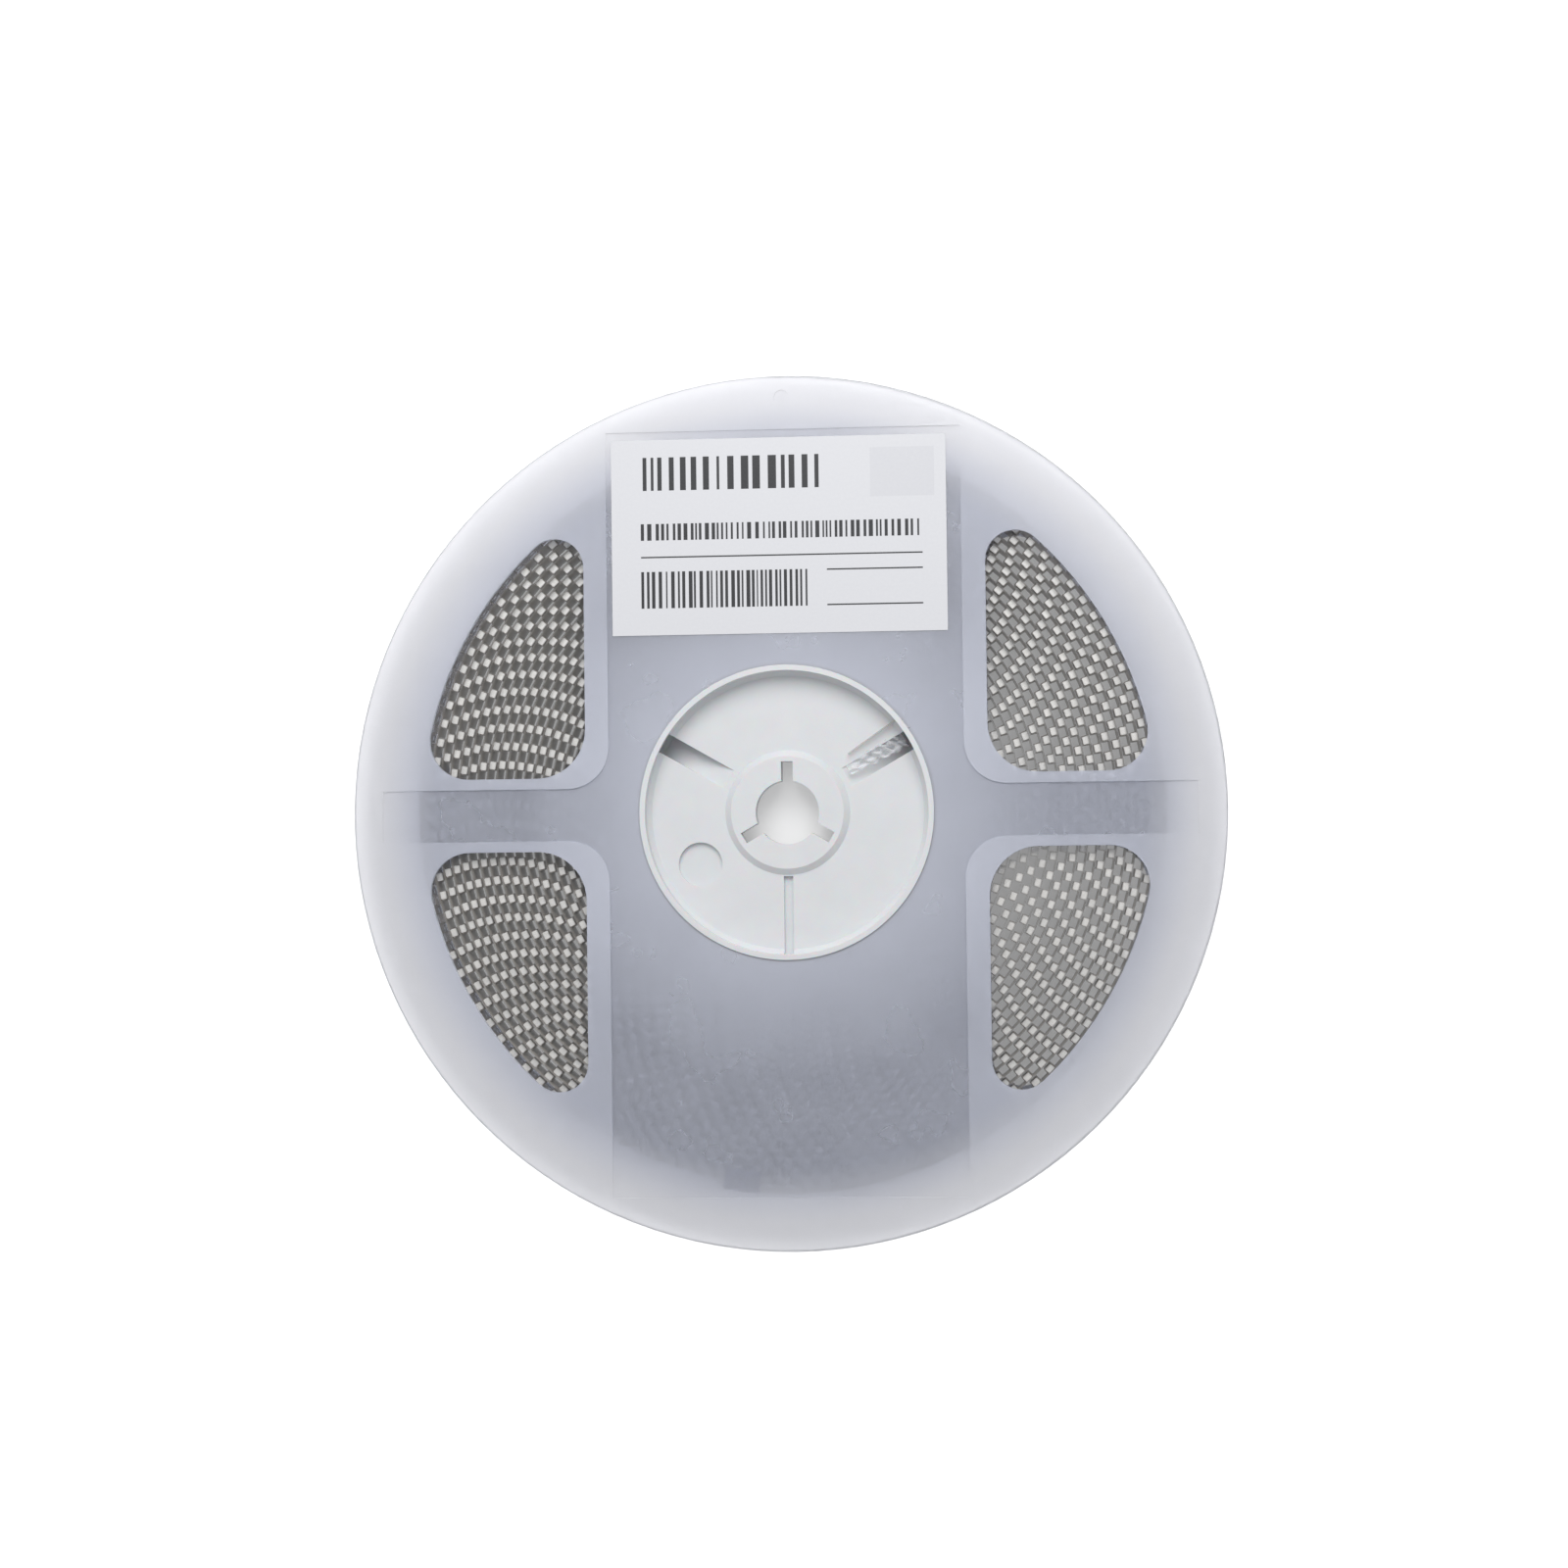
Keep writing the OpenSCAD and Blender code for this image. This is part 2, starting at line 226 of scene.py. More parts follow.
# Milky polystyrene, injection moulded. Most of a flange has a fine eroded texture, which scatters
# what lies behind it into an even pale grey. The sunk panel is thinner and polished, so that the
# roll's rows show through it, softened.
def milky_polystyrene():
    made, tree = material("milky_polystyrene_moulded")
    at = object_mm(tree)
    size = add(tree, "ShaderNodeVectorMath", {0: at}, operation="ABSOLUTE").outputs[0]
    corner = (PANEL_HALF_W + PANEL_CORNER_R, PANEL_ARM_HALF_H + PANEL_CORNER_R, 0)
    to_corner = add(tree, "ShaderNodeVectorMath", {0: corner, 1: size}, operation="SUBTRACT").outputs[0]
    to_corner = add(tree, "ShaderNodeVectorMath", {0: to_corner, 1: (0, 0, 0)}, operation="MAXIMUM")
    to_corner = add(tree, "ShaderNodeVectorMath", {0: to_corner.outputs[0], 1: (1, 1, 0)},
                    operation="MULTIPLY").outputs[0]
    reach = add(tree, "ShaderNodeVectorMath", {0: to_corner}, operation="LENGTH").outputs["Value"]
    axes = add(tree, "ShaderNodeSeparateXYZ", {0: size})
    panel = math_of(tree, "GREATER_THAN", reach, PANEL_CORNER_R)
    panel = math_of(tree, "MULTIPLY", panel, math_of(tree, "LESS_THAN", axes.outputs["X"], PANEL_HALF_SPAN))
    panel = math_of(tree, "MULTIPLY", panel, math_of(tree, "LESS_THAN", axes.outputs["Y"], PANEL_HALF_H))
    # the polish and the painted shade over the roll end softly towards the rim, past the roll
    rim = add(tree, "ShaderNodeVectorMath", {0: size}, operation="LENGTH").outputs["Value"]
    fade = add(tree, "ShaderNodeMapRange", {
        "Value": rim, "From Min": POLISH_AND_SHADE_FADE[0], "From Max": POLISH_AND_SHADE_FADE[1]}).outputs[0]
    panel = math_of(tree, "MULTIPLY", panel, fade)
    # melt flowed outwards from the gate and left faint cloudy streaks some 15 mm long
    cloud = add(tree, "ShaderNodeTexNoise", {"Vector": at, "Scale": 0.07, "Detail": 3.0}).outputs["Fac"]
    grain = add(tree, "ShaderNodeTexNoise", {"Vector": at, "Scale": 2.2, "Detail": 2.0}).outputs["Fac"]
    # painted glow: the flange is made milkier, and so paler, towards the hub, for light the white hub
    # scatters into it
    painted_hub_halo = add(tree, "ShaderNodeMapRange", {
        "Value": rim, "From Min": HUB_HALO_RADII[0], "From Max": HUB_HALO_RADII[1], "To Max": -0.24}).outputs[0]
    clear = math_of(tree, "ADD", spread(tree, panel, 0.60, 0.74), spread(tree, cloud, -0.05, 0.05))
    clear = math_of(tree, "ADD", clear, painted_hub_halo)
    rough = math_of(tree, "ADD", spread(tree, panel, 0.50, 0.28), spread(tree, cloud, -0.03, 0.03))
    # painted shade: the flange's colour is bluer and darker over the roll and paler past it, for the dark
    # roll seen through it
    tint = add(tree, "ShaderNodeMix", {"Factor": fade, 6: linear("#F3F3F6"), 7: linear("#E6E9F5")},
               data_type="RGBA").outputs[2]
    bump = add(tree, "ShaderNodeBump", {"Height": grain, "Strength": 0.06, "Distance": 0.0002}).outputs[0]
    shader = add(tree, "ShaderNodeBsdfPrincipled", {
        "Base Color": tint, "Roughness": rough, "Transmission Weight": clear, "IOR": 1.45,
        "Coat Weight": 0.15, "Coat Roughness": 0.3, "Normal": bump})
    return surface(made, shader.outputs[0])


# White high-impact polystyrene, injection moulded: opaque, with a low satin gloss from a lightly
# eroded tool, and faint sink marks a few millimetres across.
def white_polystyrene():
    made, tree = material("white_polystyrene_moulded")
    at = object_mm(tree)
    sink = add(tree, "ShaderNodeTexNoise", {"Vector": at, "Scale": 0.18, "Detail": 2.0}).outputs["Fac"]
    grain = add(tree, "ShaderNodeTexNoise", {"Vector": at, "Scale": 3.0, "Detail": 2.0}).outputs["Fac"]
    tint = add(tree, "ShaderNodeMix", {"Factor": sink, 6: linear("#D9DADC"), 7: linear("#DFE0E2")},
               data_type="RGBA").outputs[2]
    bump = add(tree, "ShaderNodeBump", {"Height": grain, "Strength": 0.08, "Distance": 0.0002}).outputs[0]
    shader = add(tree, "ShaderNodeBsdfPrincipled", {
        "Base Color": tint, "Roughness": spread(tree, sink, 0.36, 0.48), "IOR": 1.5,
        "Subsurface Weight": 0.4, "Subsurface Scale": 0.0015, "Normal": bump})
    return surface(made, shader.outputs[0])


def clear_film(name, colour, low, high, roughness, ior):
    """A thin clear film: part of the light passes straight through, the rest is its own gloss and haze.

    The share that it stops goes from low, square on, to high, at a glance."""
    made, tree = material(name)
    at = object_mm(tree)
    haze = add(tree, "ShaderNodeTexNoise", {"Vector": at, "Scale": 0.9, "Detail": 2.0}).outputs["Fac"]
    edge = add(tree, "ShaderNodeLayerWeight", {"Blend": 0.35}).outputs["Facing"]
    solid = math_of(tree, "ADD", spread(tree, edge, low, high), spread(tree, haze, -0.06, 0.06))
    shader = add(tree, "ShaderNodeBsdfPrincipled", {
        "Base Color": linear(colour), "Roughness": roughness, "IOR": ior, "Alpha": solid})
    return surface(made, shader.outputs[0])


# Tinned terminations, electroplated: matte and nearly white, so little metallic, each chip a
# little different from the next.
def matte_tin():
    made, tree = material("tin_plated")
    at = object_mm(tree)
    tone = add(tree, "ShaderNodeAttribute", attribute_name="tone").outputs["Fac"]
    crystals = add(tree, "ShaderNodeTexNoise", {"Vector": at, "Scale": 4.0, "Detail": 2.0}).outputs["Fac"]
    tint = add(tree, "ShaderNodeMix", {"Factor": tone, 6: linear("#F0F0EF"), 7: linear("#FBFAF8")},
               data_type="RGBA").outputs[2]
    bump = add(tree, "ShaderNodeBump", {
        "Height": crystals, "Strength": 0.15, "Distance": 0.0001}).outputs[0]
    shader = add(tree, "ShaderNodeBsdfPrincipled", {
        "Base Color": tint, "Metallic": 0.2, "Roughness": spread(tree, crystals, 0.40, 0.55),
        "Normal": bump})
    return surface(made, shader.outputs[0])


# Barium titanate ceramic, pressed and sintered: a dull tan body with a fine grain.
def sintered_ceramic():
    made, tree = material("barium_titanate_sintered")
    at = object_mm(tree)
    grain = add(tree, "ShaderNodeTexNoise", {"Vector": at, "Scale": 5.0, "Detail": 3.0}).outputs["Fac"]
    tint = add(tree, "ShaderNodeMix", {"Factor": grain, 6: linear("#8B7360"), 7: linear("#A48A74")},
               data_type="RGBA").outputs[2]
    shader = add(tree, "ShaderNodeBsdfPrincipled", {"Base Color": tint, "Roughness": 0.62, "IOR": 1.8})
    return surface(made, shader.outputs[0])


# Blue polypropylene packing tape, extruded: satin, with fine lines drawn along it.
def blue_film():
    made, tree = material("blue_polypropylene_film")
    at = object_mm(tree)
    lines = add(tree, "ShaderNodeTexNoise", {"Vector": at, "Scale": 1.4, "Detail": 3.0}).outputs["Fac"]
    tint = add(tree, "ShaderNodeMix", {"Factor": lines, 6: linear("#22315F"), 7: linear("#2E4279")},
               data_type="RGBA").outputs[2]
    bump = add(tree, "ShaderNodeBump", {"Height": lines, "Strength": 0.2, "Distance": 0.0002}).outputs[0]
    shader = add(tree, "ShaderNodeBsdfPrincipled", {
        "Base Color": tint, "Roughness": spread(tree, lines, 0.28, 0.42), "IOR": 1.49, "Normal": bump})
    return surface(made, shader.outputs[0])


def label_stock(name, light, dark, roughness):
    """Coated label paper, calendered, or its thermal print: fibres show as a faint mottle."""
    made, tree = material(name)
    at = object_mm(tree)
    fibres = add(tree, "ShaderNodeTexNoise", {"Vector": at, "Scale": 1.6, "Detail": 4.0}).outputs["Fac"]
    tint = add(tree, "ShaderNodeMix", {"Factor": fibres, 6: linear(dark), 7: linear(light)},
               data_type="RGBA").outputs[2]
    bump = add(tree, "ShaderNodeBump", {"Height": fibres, "Strength": 0.1, "Distance": 0.0001}).outputs[0]
    shader = add(tree, "ShaderNodeBsdfPrincipled", {
        "Base Color": tint, "Roughness": roughness, "IOR": 1.5, "Normal": bump})
    return surface(made, shader.outputs[0])


# ---------------------------------------------------------------- carrier tape
def flat_cell(u0, u1, v0, v1):
    """One flat quad of tape, pointing away from the hub."""
    return [(u0, 0, v0), (u0, 0, v1), (u1, 0, v1), (u1, 0, v0)]


def band(outer, inner):
    """Quads between two closed loops of places."""
    n = len(outer)
    return [[outer[i], outer[(i + 1) % n], inner[(i + 1) % n], inner[i]] for i in range(n)]


def pocket_cells():
    """A drawn pocket: four walls that lean in by a tenth of a millimetre, and a floor."""
    def loop(u, w, lift):
        return [(i * u, lift, POCKET_V + j * w) for i, j in ((-1, -1), (-1, 1), (1, 1), (1, -1))]
    rim, floor = loop(POCKET_U, POCKET_W, 0), loop(POCKET_U - 0.1, POCKET_W - 0.1, -POCKET_DEPTH)
    return band(rim, floor) + [floor]


def sprocket_cells(u0, u1):
    """A square of tape with a round sprocket hole, as eight quads round it."""
    u, h = (u0 + u1) / 2, (u1 - u0) / 2
    square = [(-1, -1), (-1, 0), (-1, 1), (0, 1), (1, 1), (1, 0), (1, -1), (0, -1)]
    rim = [(u + h * i, 0, SPROCKET_V + h * j) for i, j in square]
    hole = [(u + SPROCKET_R * i / math.hypot(i, j), 0, SPROCKET_V + SPROCKET_R * j / math.hypot(i, j))
            for i, j in square]
    return band(rim, hole)


def carrier_tape(film):
    """The strip, repeated pocket by pocket in (length, lift, height) and rolled up as one array.

    Sprocket holes are cut in the last turn and a bit, where the roll's outer face shows them.
    """
    low, high, end = POCKET_V - POCKET_W, POCKET_V + POCKET_W, POCKET_PITCH - POCKET_U
    plain = pocket_cells() + [
        flat_cell(-POCKET_U, POCKET_U, 0, low), flat_cell(-POCKET_U, POCKET_U, high, TAPE_W),
        flat_cell(POCKET_U, end, 0, low), flat_cell(POCKET_U, end, low, high),
        flat_cell(POCKET_U, end, high, TAPE_W)]
    h = (end - POCKET_U) / 2
    rows = [0, SPROCKET_V - h, SPROCKET_V, SPROCKET_V + h, low, high, TAPE_W]
    holed = pocket_cells() + sprocket_cells(POCKET_U, end)
    for v0, v1 in zip(rows, rows[1:]):
        if v0 != low:
            holed.append(flat_cell(-POCKET_U, POCKET_U, v0, v1))
        if v0 == 0 or v0 > SPROCKET_V:
            holed += [flat_cell(POCKET_U, POCKET_U + h, v0, v1), flat_cell(POCKET_U + h, end, v0, v1)]
    first_holed = POCKETS - HOLED
    runs = []
    for cells, n in ((plain, np.arange(1, first_holed)), (holed, np.arange(first_holed, POCKETS))):
        shift = np.zeros((len(n), 1, 1, 3))
        shift[:, 0, 0, 0] = n * POCKET_PITCH
        runs.append((np.array(cells, float)[None] + shift).reshape(-1, 4, 3))
    places, faces = welded(np.concatenate(runs))
    points = on_roll(places)
    tail, tail_faces = tail_end()
    points, faces = np.vstack([points, tail]), np.vstack([faces, tail_faces + len(points)])
    strip = piece("carrier_tape_strip", points, faces, [film], ["carrier_tape"])
    return thicken(strip, WALL_T)


def tail_end():
    """Inner end: straight inside the hub, round a bend of radius TAIL_BEND, then on to the roll.

    The height runs between two straight edges that rise with a channel's floor to a cut tip. As in
    the solid, the tail lies about ten degrees past the channel and passes through the hub's web.
    """
    bend_x = BASE_R - TAIL_BEND
    tip_low = SLOT_BOTTOM + (CUP_R - TAIL_R) * FLOOR_SLOPE + TAIL_GAP
    tip_high = TAPE_FRONT - (TAPE_FRONT - tip_low) / 3
    straight = np.linspace(TAIL_R, bend_x, 12)[:-1]
    low = np.interp(straight, [TAIL_R, CUP_R], [tip_low, TAPE_REAR])
    high = np.interp(straight, [TAIL_R, CUP_R - TAPE_W / 2], [tip_high, TAPE_FRONT])
    a = np.linspace(-math.pi / 2, 0, 9)
    bend = laid(bend_x + TAIL_BEND * np.cos(a), TAIL_BEND * np.sin(a))
    start = rolled(np.linspace(0.7, POCKET_PITCH - POCKET_U, 4), 0)
    x, y = (np.concatenate(c) for c in zip(laid(straight, np.full(11, -TAIL_BEND)), bend, start))
    low = np.concatenate([low, np.full(13, TAPE_REAR)])
    high = np.concatenate([high, np.full(13, TAPE_FRONT)])
    share = np.linspace(0, 1, 5)[None]
    z = low[:, None] + (high - low)[:, None] * share
    points = np.stack([np.broadcast_to(x[:, None], z.shape), np.broadcast_to(y[:, None], z.shape), z], -1)
    return points.reshape(-1, 3), grid_faces(len(x), 5)[:, ::-1]


def cover_tape(film):
    """A flat ribbon over the pockets, in steps of half a pocket pitch along the roll."""
    along = np.arange(0.5, TAPE_L, POCKET_PITCH / 2)
    low, high = POCKET_V - COVER_W / 2, POCKET_V + COVER_W / 2
    a, v = np.meshgrid(along, [low, high], indexing="ij")
    points = on_roll(np.column_stack([a.ravel(), np.full(a.size, COVER_LIFT), v.ravel()]))
    strip = piece("cover_tape_strip", points, grid_faces(len(along), 2)[:, ::-1], [film],
                  ["cover_tape"], smooth=True)
    return thicken(strip, COVER_T)


# ---------------------------------------------------------------- chips
def chip_capacitors(tin, ceramic):
    """Every filled pocket's chip at once: eight-sided rings at six heights, placed on the roll.

    A ring is a rectangle with its corners cut by CHIP_EDGE. Its first and last copies are drawn in by
    half of that, and the tinned caps end at the second and the fifth. Each chip lies a little turned
    and shifted in its pocket.
    """
    half, cut = CHIP / 2, CHIP_EDGE
    side = np.array([[1, -1], [1, 1], [-1, 1], [-1, -1]])
    ring = np.array([p for h, w in side for p in (
        [[h * half[0], w * (half[1] - cut)], [h * (half[0] - cut), w * half[1]]]
        if h == w else [[h * (half[0] - cut), w * half[1]], [h * half[0], w * (half[1] - cut)]])])
    below = np.array([0, cut / 2, CAP_L]) - half[2]
    heights = np.concatenate([below, -below[::-1]])
    shrink = np.array([1, 0, 0, 0, 0, 1]) * cut / 2
    hw = ring[None] - np.sign(ring)[None] * shrink[:, None, None]
    one = np.concatenate([hw, np.broadcast_to(heights[:, None, None], (6, 8, 1))], -1).reshape(-1, 3)

    n = np.arange(TRAILER + 1, POCKETS - LEADER)
    count = len(n)
    along = n * POCKET_PITCH + rng.normal(0, 0.03, count)
    lift = CHIP_LIFT + rng.uniform(-0.05, 0.05, count)
    x0, y0 = rolled(along, lift)
    x1, y1 = rolled(along, lift + 1)
    out = np.column_stack([x1 - x0, y1 - y0])
    on = np.column_stack([out[:, 1], -out[:, 0]])         # towards the tape's outer end
    turn = np.radians(rng.normal(0, 1.5, count))[:, None]
    out, on = out * np.cos(turn) + on * np.sin(turn), on * np.cos(turn) - out * np.sin(turn)
    z0 = TAPE_REAR + POCKET_V + rng.uniform(-0.05, 0.05, count)
    xy = (np.column_stack([x0, y0])[:, None] + out[:, None] * one[None, :, :1]
          + on[:, None] * one[None, :, 1:2])
    points = np.concatenate([xy, z0[:, None, None] + np.broadcast_to(one[:, 2:], (count, 48, 1))], -1)

    i = np.arange(8)
    belt = np.column_stack([i, i + 8, (i + 1) % 8 + 8, (i + 1) % 8])
    sides = np.concatenate([belt + 8 * j for j in range(5)])
    ends = np.array([i, i[::-1] + 40])
    first = (np.arange(count) * 48)[:, None, None]
    side_faces = (sides[None] + first).reshape(-1, 4)
    end_faces = (ends[None] + first).reshape(-1, 8)
    part = np.concatenate([np.tile(np.repeat([0, 0, 1, 0, 0], 8), count), np.zeros(2 * count, int)])
    ob = piece("chip_capacitors_in_pockets", points.reshape(-1, 3), [*side_faces, *end_faces],
               [tin, ceramic], ["chip_capacitors"], part)
    tone = ob.data.attributes.new("tone", "FLOAT", "POINT")
    tone.data.foreach_set("value", np.repeat(rng.uniform(0, 1, count), 48).astype(np.float32))
    return ob


# ---------------------------------------------------------------- tab, film end and label
def end_tab(film):
    """A strip across the roll's outer face whose ends fold down over both sides.

    The section runs in, over and in again with rounded folds of 0.35 mm, and is carried along the
    last of the tape. The folded ends lift off by a few hundredths, more at their tips.
    """
    top = COVER_LIFT + COVER_T + 0.02
    fold, corner = TAB_FOLD - 0.3, 0.35
    gap = 0.02
    reach = np.linspace(top - fold, top - corner, 8)
    a = np.linspace(math.pi / 2, 0, 6)[1:-1]
    over = np.column_stack([top - corner + (corner + gap) * np.cos(a),
                            TAPE_W - corner + (corner + gap) * np.sin(a)])
    front = np.vstack([np.column_stack([reach, np.full(8, TAPE_W + gap)]), over,
                       [[top + gap, TAPE_W - corner]], [[top + gap, TAPE_W / 2 + 0.6]]])
    rear = front[::-1] * [1, -1] + [0, TAPE_W]
    section = np.vstack([front, rear])
    u = np.linspace(TAPE_L - TAB_SETBACK - TAB_W, TAPE_L - TAB_SETBACK, 15)
    s, i = np.meshgrid(u, np.arange(len(section)), indexing="ij")
    lift, v = section[i, 0], section[i, 1]
    tip = np.clip((top - lift) / fold, 0, 1)
    wave = 0.05 * tip * (1 + np.sin(s * 1.7 + 2.2 * tip) * 0.8)
    v = v + np.where(v > TAPE_W / 2, wave, -wave * 0.4) * (tip > 0.1)
    points = on_roll(np.column_stack([s.ravel(), lift.ravel(), v.ravel()]))
    strip = piece("folded_end_tab", points, grid_faces(*s.shape), [film],
                  ["end_tab"], smooth=True)
    return thicken(strip, TAB_T)


def film_end(film):
    """Loose end of clear film in the channel: a ribbon crumpled by three crossing sine waves.

    The waves grow and shorten towards the hub's wall, and the ribbon narrows to its tip.
    """
    length, across = np.meshgrid(np.linspace(0, 1, 70), np.linspace(-1, 1, 19), indexing="ij")
    r = 15.0 + 13.2 * length
    half_w = 0.9 + 0.9 * length ** 0.7 + 0.12 * np.sin(19 * length)
    crumple = 0.15 + 0.45 * length ** 1.5
    side = across * half_w + 0.9 + crumple * 0.5 * np.sin(31 * length + 2 * across)
    floor = SLOT_BOTTOM + (CUP_R - r) * FLOOR_SLOPE
    lie = floor + 1.5 + 2.9 * length ** 0.8
    z = lie + crumple * (np.sin(37 * length ** 1.4 + 3 * across) + 0.6 * np.sin(13 * length - 5 * across)
                         + 0.5 * np.cos(8 * across + 23 * length))
    a = math.radians(CHANNEL_ANGLE)
    x = r * math.cos(a) - side * math.sin(a)
    y = r * math.sin(a) + side * math.cos(a)
    z = np.clip(z, floor + 0.25, REEL_W - 0.3)
    points = np.stack([x, y, z], -1).reshape(-1, 3)
    strip = piece("crumpled_film_end", points, grid_faces(*r.shape), [film], smooth=True)
    return thicken(strip, COVER_T)


def bars(x0, x1, y0, y1, thin, thick):
    """Upright printed bars from x0 to x1, with seeded widths and gaps between thin and thick."""
    widths = rng.uniform(thin, thick, int(2 * (x1 - x0) / thin))
    edges = x0 + np.concatenate([[0], np.cumsum(widths)])
    edges = edges[edges < x1]
    return [(a, b, y0, y1) for a, b in zip(edges[::2], edges[1::2])]


def label(paper, ink, grey):
    """A grid whose lines follow the edges of every printed field, so that each cell is one colour."""
    low, high = (np.array(c) * 1000 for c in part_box("label"))
    left, top = low[0], high[1]
    fields = bars(left + 6.5, left + 43.5, top - 10.4, top - 3.6, 0.5, 1.7)
    fields += bars(left + 6.0, left + 63.5, top - 20.6, top - 17.2, 0.3, 0.9)
    fields += bars(left + 6.0, left + 40.0, top - 34.5, top - 27.0, 0.25, 0.8)
    fields += [(left + 6.0, left + 63.5, top - 24.2, top - 23.9),
               (left + 44.0, left + 63.5, top - 34.5, top - 34.2),
               (left + 44.0, left + 63.5, top - 27.3, top - 27.0)]
    pale = [(left + 53.0, left + 66.0, top - 12.5, top - 2.5)]
    xs = np.unique(np.round([left, high[0], *[e for f in fields + pale for e in f[:2]]], 4))
    ys = np.unique(np.round([low[1], top, *[e for f in fields + pale for e in f[2:]]], 4))
    x, y = np.meshgrid(xs, ys, indexing="ij")
    points = np.column_stack([x.ravel(), y.ravel(), np.full(x.size, low[2])])
    mid = np.meshgrid((xs[1:] + xs[:-1]) / 2, (ys[1:] + ys[:-1]) / 2, indexing="ij")
    mid = np.stack(mid, -1).reshape(-1, 2)

    def within(boxes):
        b = np.array(boxes)
        return ((mid[:, None, 0] > b[:, 0]) & (mid[:, None, 0] < b[:, 1])
                & (mid[:, None, 1] > b[:, 2]) & (mid[:, None, 1] < b[:, 3])).any(1)
    part = np.where(within(fields), 1, np.where(within(pale), 2, 0))
    sheet = piece("paper_label", points, grid_faces(*x.shape), [paper, ink, grey],
                  ["label"], part)
    return thicken(sheet, high[2] - low[2])


# ---------------------------------------------------------------- the reel
flange_finish = milky_polystyrene()
for node, finish in (("rear_flange", flange_finish), ("front_flange", flange_finish),
                     ("hub", white_polystyrene())):
    nodes[node].data.materials.clear()
    nodes[node].data.materials.append(finish)

# clear polystyrene, extruded and thermoformed: thin walls with a soft grey haze
carrier_tape(clear_film("carrier_polystyrene_thermoformed", "#C6BFB7", 0.06, 0.75, 0.40, 1.58))
# clear polyester, extruded: the thinnest of the films, and the glossiest
polyester = clear_film("cover_polyester_film", "#E4E6EA", 0.08, 0.60, 0.12, 1.6)
cover_tape(polyester)
film_end(clear_film("polyester_film_creased", "#F2F3F6", 0.22, 0.95, 0.16, 1.6))
chip_capacitors(matte_tin(), sintered_ceramic())
end_tab(blue_film())
label(label_stock("coated_label_paper", "#DBDBDE", "#D5D5D9", 0.5),
      label_stock("thermal_print_black", "#2A2B2F", "#1E1F23", 0.42),
      label_stock("thermal_print_grey", "#D5D5D9", "#CFCFD3", 0.5))


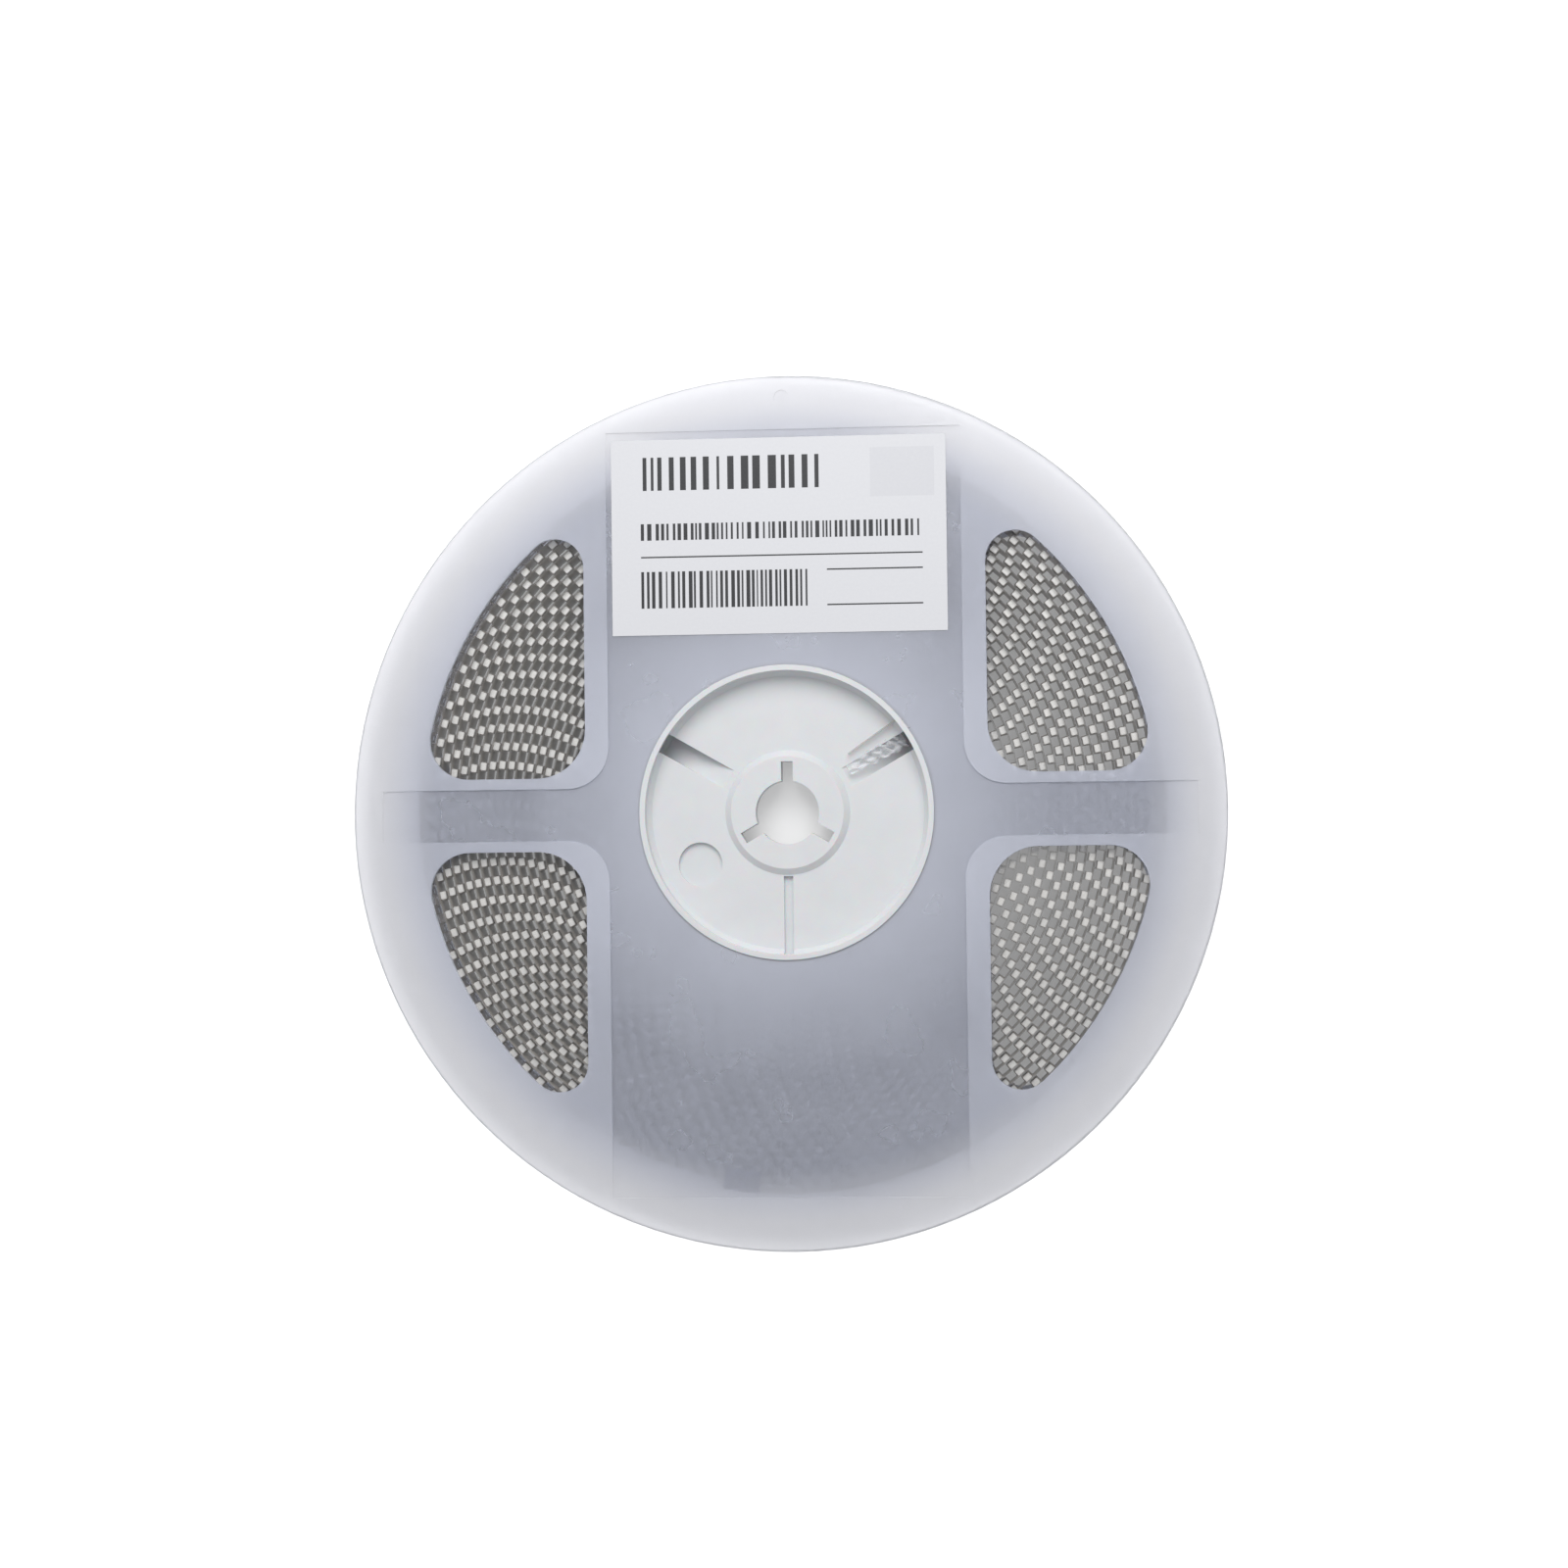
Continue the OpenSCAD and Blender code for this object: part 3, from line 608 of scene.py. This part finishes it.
# ---------------------------------------------------------------- floor, light and camera
def floor():
    """A plain white sheet. Seen directly or through plastic it glows as well as being lit, so that it
    is white around the reel. Under the reel the glow is weak, and there the shadow shows."""
    made, tree = material("matte_white_board")
    path = add(tree, "ShaderNodeLightPath")
    seen = math_of(tree, "MAXIMUM", path.outputs["Is Camera Ray"], path.outputs["Is Glossy Ray"])
    seen = math_of(tree, "MAXIMUM", seen, path.outputs["Is Transmission Ray"])
    board = add(tree, "ShaderNodeBsdfDiffuse", {"Color": linear("#EFEFEF")}).outputs[0]
    seen_board = add(tree, "ShaderNodeBsdfDiffuse", {"Color": (0.6, 0.6, 0.6, 1)}).outputs[0]
    at = add(tree, "ShaderNodeVectorMath", {0: object_mm(tree)}, operation="LENGTH").outputs["Value"]
    around = add(tree, "ShaderNodeMapRange", {
        "Value": at, "From Min": FOOTPRINT[0], "From Max": FOOTPRINT[1], "To Min": 0.27, "To Max": 0.86},
        interpolation_type="SMOOTHSTEP").outputs[0]
    # painted light: a little extra glow on the floor inside the reel's bore, which lies in the reel's shade
    painted_bore_glow = add(tree, "ShaderNodeMapRange", {
        "Value": at, "From Min": BORE_GLOW_FADE[0], "From Max": BORE_GLOW_FADE[1], "To Max": 0.09}).outputs[0]
    floor_glow_strength = math_of(tree, "ADD", around, painted_bore_glow)
    white = add(tree, "ShaderNodeEmission", {"Color": (1, 1, 1, 1), "Strength": floor_glow_strength}).outputs[0]
    lit = add(tree, "ShaderNodeAddShader", {0: seen_board, 1: white}).outputs[0]
    surface(made, add(tree, "ShaderNodeMixShader", {0: seen, 1: board, 2: lit}).outputs[0])
    x, y = np.meshgrid([-FLOOR_HALF, FLOOR_HALF], [-FLOOR_HALF, FLOOR_HALF], indexing="ij")
    mesh = bpy.data.meshes.new("floor")
    points = np.column_stack([x.ravel(), y.ravel(), np.full(4, FLOOR_Z)]) * 0.001
    mesh.from_pydata(points.tolist(), [], grid_faces(2, 2).tolist())
    mesh.materials.append(made)
    ob = bpy.data.objects.new("floor", mesh)
    bpy.context.scene.collection.objects.link(ob)


def soft_light():
    """An even sky and one large soft lamp beyond the top of the reel."""
    world = bpy.data.worlds.new("sky")
    world.use_nodes = True
    tree = world.node_tree
    tree.nodes.clear()
    sky = add(tree, "ShaderNodeBackground", {"Color": (0.96, 0.98, 1.0, 1), "Strength": 0.49})
    add(tree, "ShaderNodeOutputWorld", {"Surface": sky.outputs[0]})
    bpy.context.scene.world = world
    lamp = bpy.data.lights.new("soft_box", "AREA")
    lamp.shape, lamp.size, lamp.energy = "DISK", 0.4, 2.0
    ob = bpy.data.objects.new("soft_box", lamp)
    ob.location = (0.0, 0.32, 0.42)
    ob.rotation_euler = (Vector((0, 0, 0.01)) - ob.location).to_track_quat("-Z", "Y").to_euler()
    bpy.context.scene.collection.objects.link(ob)


def camera():
    """Nearly square on to the labelled flange, a few degrees towards the reel's right."""
    distance = 0.6
    right, down, roll = math.asin(1.33e-4 * 600), math.asin(4.65e-5 * 600), math.radians(0.7)
    aim = Vector((-0.00036, 0.0057, REEL_W * 0.001))
    back = Vector((math.sin(right), -math.sin(down), 0))
    back.z = math.sqrt(1 - back.length_squared)
    up = Vector((math.sin(roll), math.cos(roll), 0))
    side = up.cross(back).normalized()
    up = back.cross(side)
    data = bpy.data.cameras.new("camera")
    data.lens, data.sensor_width = 5.027 * distance * 1000 * 36 / 1600, 36
    data.clip_start = 0.01
    ob = bpy.data.objects.new("camera", data)
    turn = Matrix((side, up, back)).transposed().to_4x4()
    ob.matrix_world = Matrix.Translation(aim + back * distance) @ turn
    bpy.context.scene.collection.objects.link(ob)
    bpy.context.scene.camera = ob


floor()
soft_light()
camera()
bpy.context.scene.view_settings.view_transform = "Standard"

bpy.context.view_layer.update()
